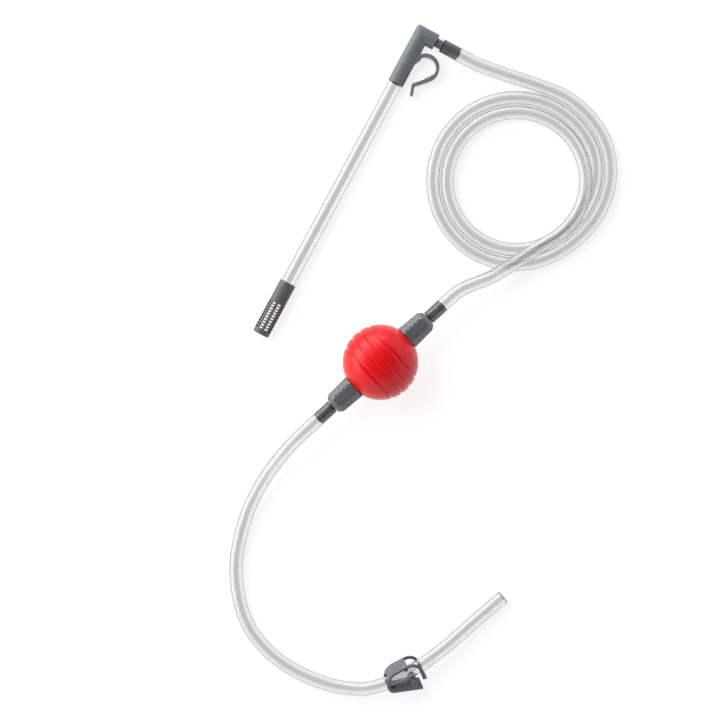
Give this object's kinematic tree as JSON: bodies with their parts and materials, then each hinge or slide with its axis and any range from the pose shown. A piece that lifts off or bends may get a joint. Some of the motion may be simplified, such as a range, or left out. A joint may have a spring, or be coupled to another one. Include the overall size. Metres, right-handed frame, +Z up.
{
  "type": "gravel vacuum siphon",
  "caption": "Hand-started aquarium siphon: slotted suction wand with a rim hook, coiled clear hose, red squeeze bulb with one-way valves, outlet hose with a flow clamp.",
  "frame": {"origin": "on the floor under the middle of wand and bulb, the hoses left out", "axes": "+Z up from the floor, +Y from the bulb towards the elbow, +X towards the coil"},
  "size_m": [0.3406, 0.5897, 0.0655],
  "materials": {
    "grey_moulding": "smooth grey moulding",
    "dark_moulding": "dark grey moulding",
    "clamp_plastic": "smooth grey moulding",
    "clear_tube": "clear rigid tube",
    "clear_hose": "clear soft hose",
    "bulb_rubber": "satin red rubber",
    "valve_plastic": "natural plastic",
    "valve_rubber": "black rubber sheet"
  },
  "bodies": {
    "siphon": {"elbow": "grey_moulding", "suction_tube": "clear_tube", "inlet_hose_lead": "clear_hose", "inlet_hose_coil": "clear_hose", "inlet_hose_tail": "clear_hose", "inlet_connector": "dark_moulding", "inlet_valve_seat": "valve_plastic", "inlet_valve_cage": "valve_plastic", "squeeze_bulb": "bulb_rubber", "outlet_connector": "dark_moulding", "outlet_valve_seat": "valve_plastic", "outlet_valve_cage": "valve_plastic", "outlet_hose": "clear_hose", "outlet_hose_pinch": "clear_hose", "outlet_hose_end": "clear_hose", "outlet_hose_mouth": "clear_hose", "clamp_body": "clamp_plastic"},
    "hook": {"rim_hook": "grey_moulding"},
    "strainer_cap": {"strainer": "dark_moulding"},
    "inlet_flap": {"inlet_valve_disc": "valve_rubber"},
    "outlet_flap": {"outlet_valve_disc": "valve_rubber"},
    "clamp_lever": {"clamp_arm": "clamp_plastic"}
  },
  "joints": [
    {"name": "hook_flex", "type": "hinge", "parent": "siphon", "child": "hook", "pos_m": [0.05591, 0.14656, 0.00745], "axis": [0, 0, 1], "range_deg": [0, 12], "stiffness_Nm_per_rad": 0.3},
    {"name": "strainer_pull", "type": "slide", "parent": "siphon", "child": "strainer_cap", "axis": [-0.4741, -0.8805, 0], "range_m": [0, 0.02]},
    {"name": "inlet_valve", "type": "slide", "parent": "siphon", "child": "inlet_flap", "axis": [-0.7373, -0.6756, 0], "range_m": [0, 0.0022]},
    {"name": "outlet_valve", "type": "slide", "parent": "siphon", "child": "outlet_flap", "axis": [-0.7373, -0.6756, 0], "range_m": [0, 0.0022]},
    {"name": "clamp_close", "type": "hinge", "parent": "siphon", "child": "clamp_lever", "pos_m": [0.02623, -0.4053, 0.01372], "axis": [-0.1951, 0.3749, -0.9063], "range_deg": [0, 25], "deforming": ["outlet_hose_pinch"]}
  ]
}
